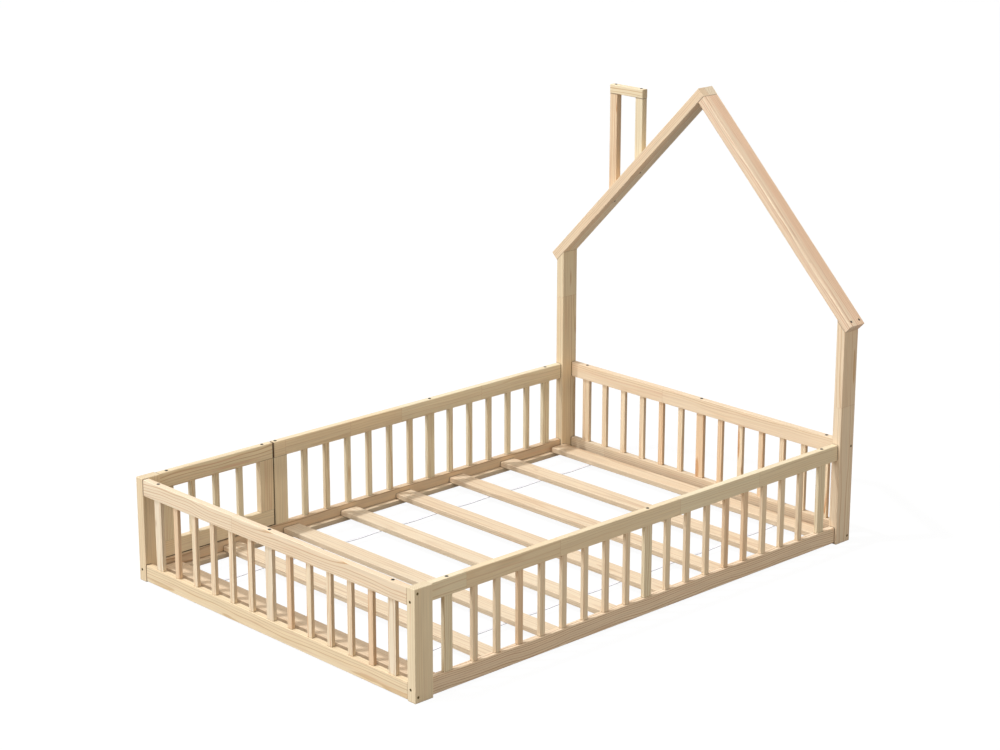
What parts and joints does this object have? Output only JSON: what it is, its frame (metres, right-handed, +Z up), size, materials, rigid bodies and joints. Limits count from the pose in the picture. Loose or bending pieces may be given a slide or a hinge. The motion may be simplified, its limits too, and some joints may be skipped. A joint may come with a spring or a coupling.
{
  "type": "kids floor bed with fence, gate and house frame",
  "caption": "Low slatted child's bed of planed pine with a barred fence all round, a hinged gate in one long side and a house-shaped head frame with a chimney.",
  "frame": {"origin": "middle of the bed's outline on the floor, under the posts", "axes": "+X from the foot to the head along the bed, +Y across it to the side with the gate, +Z up"},
  "size_m": [2.132, 1.5144, 1.5903],
  "materials": {
    "pine": "planed and sanded, clear matt",
    "zinc_steel": "dull zinc plated",
    "black_steel": "blackened",
    "webbing": "woven flat webbing"
  },
  "bodies": {
    "bed_frame": {"bar_screws": "black_steel", "catch_magnet": "zinc_steel", "chimney_cap": "pine", "chimney_inner_upright": "pine", "chimney_outer_upright": "pine", "chimney_screws": "black_steel", "end_barrel_nuts": "zinc_steel", "end_bolts": "black_steel", "far_balusters": "pine", "far_bottom_rail": "pine", "far_end_stile": "pine", "far_ledger": "pine", "far_strap": "webbing", "far_thick_bars": "pine", "far_top_rail": "pine", "foot_balusters": "pine", "foot_bottom_rail": "pine", "foot_post_far": "pine", "foot_post_near": "pine", "foot_thick_bars": "pine", "foot_top_rail": "pine", "head_balusters": "pine", "head_bottom_rail": "pine", "head_post_far": "pine", "head_post_near": "pine", "head_thick_bars": "pine", "head_top_rail": "pine", "hinge_pins": "zinc_steel", "hinge_post_screws": "zinc_steel", "lower_hinge_post_leaf": "zinc_steel", "near_balusters": "pine", "near_bottom_rail": "pine", "near_ledger": "pine", "near_strap": "webbing", "near_thick_bars": "pine", "near_top_rail": "pine", "rafter_far": "pine", "rafter_near": "pine", "rafter_screws": "black_steel", "side_barrel_nuts": "zinc_steel", "side_bolts": "black_steel", "slat_1": "pine", "slat_2": "pine", "slat_3": "pine", "slat_4": "pine", "slat_5": "pine", "slat_6": "pine", "slat_7": "pine", "slat_8": "pine", "upper_hinge_post_leaf": "zinc_steel"},
    "gate": {"catch_striker": "zinc_steel", "gate_balusters": "pine", "gate_bottom_rail": "pine", "gate_hinge_stile": "pine", "gate_latch_stile": "pine", "gate_screws": "black_steel", "gate_top_rail": "pine", "hinge_gate_screws": "zinc_steel", "lower_hinge_gate_leaf": "zinc_steel", "upper_hinge_gate_leaf": "zinc_steel"}
  },
  "joints": [
    {"name": "gate_hinge", "type": "hinge", "parent": "bed_frame", "child": "gate", "pos_m": [-0.9885, 0.734, 0.2243], "axis": [0, 0, 1], "range_deg": [0, 170]}
  ]
}
